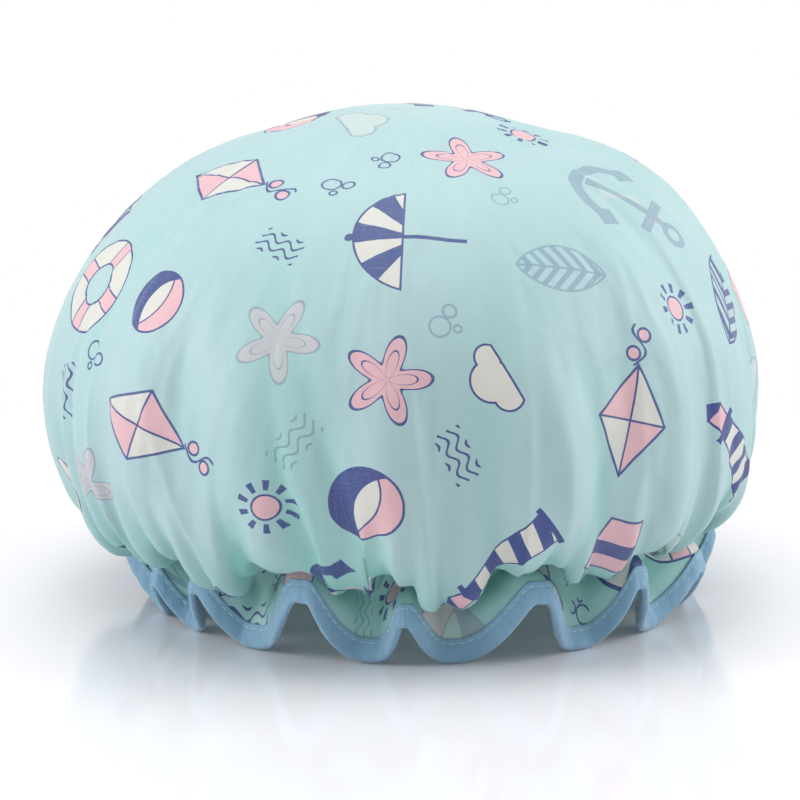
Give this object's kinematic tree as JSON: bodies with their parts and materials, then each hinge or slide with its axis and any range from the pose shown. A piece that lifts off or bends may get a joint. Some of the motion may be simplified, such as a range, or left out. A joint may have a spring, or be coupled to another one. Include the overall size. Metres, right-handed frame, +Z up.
{
  "type": "shower cap",
  "caption": "Bouffant shower cap with a puffed crown, an elastic opening and a flared ruffle whose edge is bound in folded tape.",
  "frame": {"origin": "middle of the bounding box's bottom, on the ground that the hem's troughs stand on", "axes": "+Z up through the crown, -Y towards the front of the picture, +X to its right"},
  "size_m": [0.2528, 0.2534, 0.1746],
  "materials": {
    "outer_cloth": "satin woven polyester in pale mint, printed",
    "waterproof_liner": "frosted white film",
    "elastic": "white braided elastic",
    "binding_tape": "light blue satin tape",
    "casing_thread": "spun polyester thread in mint",
    "tape_thread": "spun polyester thread in light blue"
  },
  "bodies": {
    "root": {"outer_cloth": "outer_cloth", "waterproof_liner": "waterproof_liner", "elastic_band": "elastic", "edge_binding_tape": "binding_tape", "upper_casing_needle_thread": "casing_thread", "lower_casing_needle_thread": "casing_thread", "upper_casing_bobbin_thread": "casing_thread", "lower_casing_bobbin_thread": "casing_thread", "tape_needle_thread": "tape_thread", "tape_bobbin_thread": "tape_thread"}
  },
  "joints": []
}
